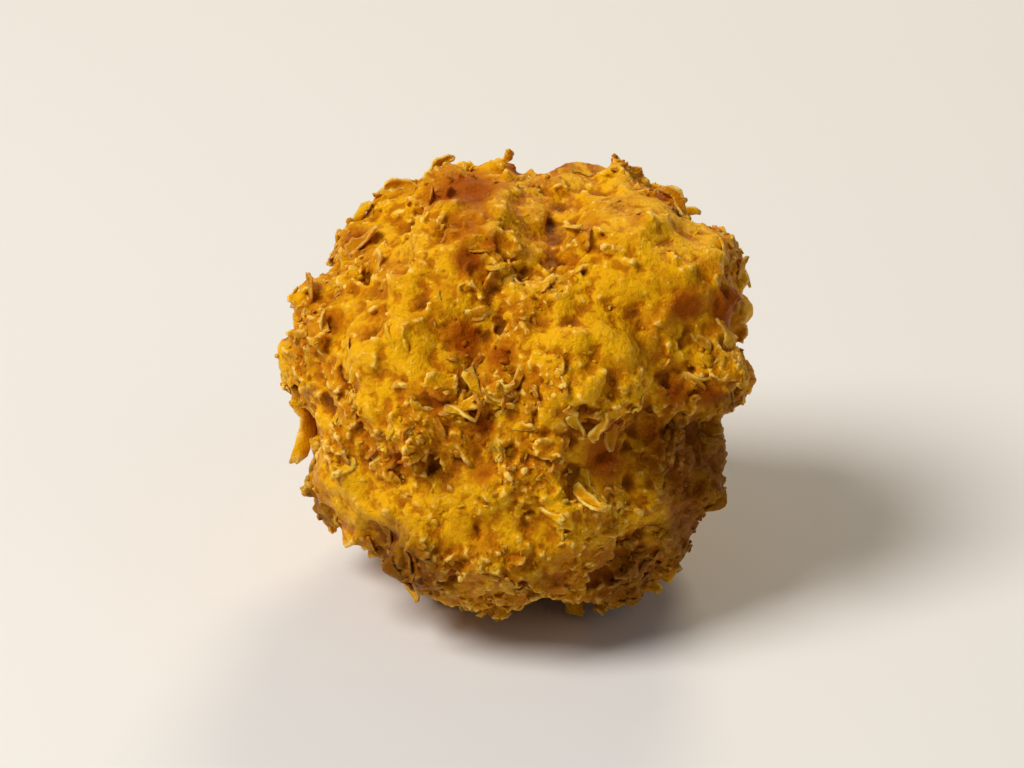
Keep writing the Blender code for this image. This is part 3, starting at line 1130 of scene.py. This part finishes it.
class FLORET_OT_crust(bpy.types.Operator):
    """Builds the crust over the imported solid's form, with its flakes fused into the batter"""

    bl_idname = "floret.crust"
    bl_label = "Crust"

    def execute(self, context):
        settings = context.scene.floret.crust
        seed = context.scene.floret.crumbs.seed
        crust = copy_of_cad_node("crust")
        reskin(crust, settings.batter_grain, BATTER_SMOOTHING)
        mark_places(crust, crust)
        raise_batter(crust, settings)
        fused = scatter_sorts(crust, FUSED_SORTS, FUSED_SIZES, seed)
        join([crust, *fused], "crust")
        reskin(crust, settings.crust_grain, CRUST_SMOOTHING)
        keep_largest_shell(crust)
        mark_places(crust, crust)
        measure_relief(crust, settings)
        thin_out(crust, MOST_TRIANGLES)
        press_onto_floor(crust)
        material = fried_material(
            "golden_crust", settings, crust_colour, roughness=(0.34, 0.56), bump_waves=4.5, glow=0.28
        )
        finish_piece(crust, material)
        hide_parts(CAD_NODE)
        return {"FINISHED"}


class FLORET_OT_flakes(bpy.types.Operator):
    """Scatters loose curled flakes over the crust"""

    bl_idname = "floret.flakes"
    bl_label = "Flakes"

    def execute(self, context):
        settings = context.scene.floret.crust
        seed = context.scene.floret.crumbs.seed + LOOSE_SEEDS
        material = fried_material(
            "crisp_flakes", settings, flake_colour, roughness=(0.28, 0.5), bump_waves=5.5, glow=0.35
        )
        for flakes in scatter_sorts(bpy.data.objects["crust"], LOOSE_SORTS, LOOSE_SIZES, seed):
            finish_piece(flakes, material)
        return {"FINISHED"}


class FLORET_OT_shown_flakes(bpy.types.Operator):
    """Lays the flakes that stand out in the photograph"""

    bl_idname = "floret.shown_flakes"
    bl_label = "Shown Flakes"

    def execute(self, context):
        settings = context.scene.floret.crust
        crust = bpy.data.objects["crust"]
        material = fried_material(
            "pale_flakes", settings, shown_flake_colour, roughness=(0.28, 0.45), bump_waves=5.5, glow=0.35
        )
        laid = []
        for order, (right, up, length, width, turn, lift) in enumerate(SHOWN_FLAKES):
            spot, normal, inside = picture_point(crust, right, up)
            flake = model_flake(
                f"shown_flake_{order}",
                length * MM,
                width * MM,
                SHOWN_THICKNESS * MM,
                HOLLOWED if order % 3 == 1 else ARCHED,
                lift,
                SHOWN_TWIST,
                order,
                SHOWN_CUTS,
            )
            turn = math.radians(turn)
            along = PICTURE_RIGHT * math.cos(turn) + PICTURE_UP * math.sin(turn)
            if not inside:
                normal = TOWARDS_CAMERA
                spot = spot + along * STANDS_OUT * length * MM
            along = (along - normal * along.dot(normal)).normalized()
            across = normal.cross(along)
            turned = Matrix((along, across, normal)).transposed().to_4x4()
            flake.data.transform(Matrix.Translation(spot + normal * SHOWN_CLEARANCE * MM) @ turned)
            laid.append(flake)
        flakes = join(laid, "shown_flakes")
        mark_places(flakes, crust)
        press_onto_floor(flakes)
        finish_piece(flakes, material)
        return {"FINISHED"}


class FLORET_OT_crumbs(bpy.types.Operator):
    """Scatters fine crumbs over the crust"""

    bl_idname = "floret.crumbs"
    bl_label = "Crumbs"

    def execute(self, context):
        settings = context.scene.floret.crumbs
        colours = context.scene.floret.crust
        material = fried_material(
            "fine_crumbs", colours, flake_colour, roughness=(0.32, 0.55), bump_waves=6.0, glow=0.2
        )
        kinds = [
            model_crumb(f"crumb_{kind}", settings.size, settings.seed + kind) for kind in range(CRUMB_KINDS)
        ]
        sort = Sort("crumbs", 0.0, 0.0, 0.0, (0, 0), settings.density, 0.0, CRUMB_LEAN, CRUMB_SINK)
        seed = settings.seed + CRUMB_SEEDS
        crumbs = scatter(bpy.data.objects["crust"], sort, kinds, CRUMB_SIZES, seed)
        finish_piece(crumbs, material)
        return {"FINISHED"}


def area_light(name, place, size, energy, colour):
    """Adds a soft round light that faces the floret."""
    data = bpy.data.lights.new(name, "AREA")
    data.shape = "DISK"
    data.size = size
    data.energy = energy
    data.color = colour
    light = bpy.data.objects.new(name, data)
    light.location = place
    light.rotation_euler = (VIEW_MIDDLE - Vector(place)).to_track_quat("-Z", "Y").to_euler()
    bpy.context.scene.collection.objects.link(light)


class FLORET_OT_stage(bpy.types.Operator):
    """Adds the pale floor, the soft lights and the camera"""

    bl_idname = "floret.stage"
    bl_label = "Stage"

    def execute(self, context):
        settings = context.scene.floret.stage
        deselect_all()
        bpy.ops.mesh.primitive_plane_add(size=FLOOR_WIDTH, location=(0.0, 0.0, 0.0))
        floor = context.object
        floor.name = "floor"
        paper = bpy.data.materials.new("floor_paper")
        paper.use_nodes = True
        shader = paper.node_tree.nodes["Principled BSDF"]
        shader.inputs["Base Color"].default_value = settings.floor[:]
        shader.inputs["Roughness"].default_value = 0.9
        shader.inputs["Specular IOR Level"].default_value = 0.1
        floor.data.materials.append(paper)
        for light in LIGHTS:
            area_light(*light)
        room = bpy.data.worlds.new("soft_room")
        context.scene.world = room
        room.use_nodes = True
        background = room.node_tree.nodes["Background"]
        background.inputs["Color"].default_value = (1.0, 1.0, 1.0, 1.0)
        background.inputs["Strength"].default_value = ROOM_STRENGTH
        data = bpy.data.cameras.new("camera")
        camera = bpy.data.objects.new("camera", data)
        context.scene.collection.objects.link(camera)
        context.scene.camera = camera
        camera.location = VIEW_MIDDLE + TOWARDS_CAMERA * settings.distance
        camera.rotation_euler = (-TOWARDS_CAMERA).to_track_quat("-Z", "Y").to_euler()
        data.sensor_width = SENSOR_WIDTH
        data.lens = SENSOR_WIDTH * settings.distance / settings.field
        data.clip_start = NEAREST_SEEN
        context.scene.view_settings.view_transform = "Standard"
        return {"FINISHED"}


class FLORET_PT_panel(bpy.types.Panel):
    """Lists the floret's pieces"""

    bl_idname = "FLORET_PT_panel"
    bl_label = "Fried Cauliflower Floret"
    bl_space_type = "VIEW_3D"
    bl_region_type = "UI"
    bl_category = "Floret"

    def draw(self, context):
        for operator in OPERATORS:
            self.layout.operator(operator.bl_idname)


OPERATORS = (FLORET_OT_crust, FLORET_OT_flakes, FLORET_OT_shown_flakes, FLORET_OT_crumbs, FLORET_OT_stage)
CLASSES = (CrustSettings, CrumbSettings, StageSettings, FloretSettings, *OPERATORS, FLORET_PT_panel)


def register():
    for item in CLASSES:
        bpy.utils.register_class(item)
    bpy.types.Scene.floret = PointerProperty(type=FloretSettings)


def unregister():
    del bpy.types.Scene.floret
    for item in reversed(CLASSES):
        bpy.utils.unregister_class(item)


def main():
    register()
    bpy.ops.floret.crust()
    bpy.ops.floret.flakes()
    bpy.ops.floret.shown_flakes()
    bpy.ops.floret.crumbs()
    bpy.ops.floret.stage()


if __name__ == "__main__":
    main()
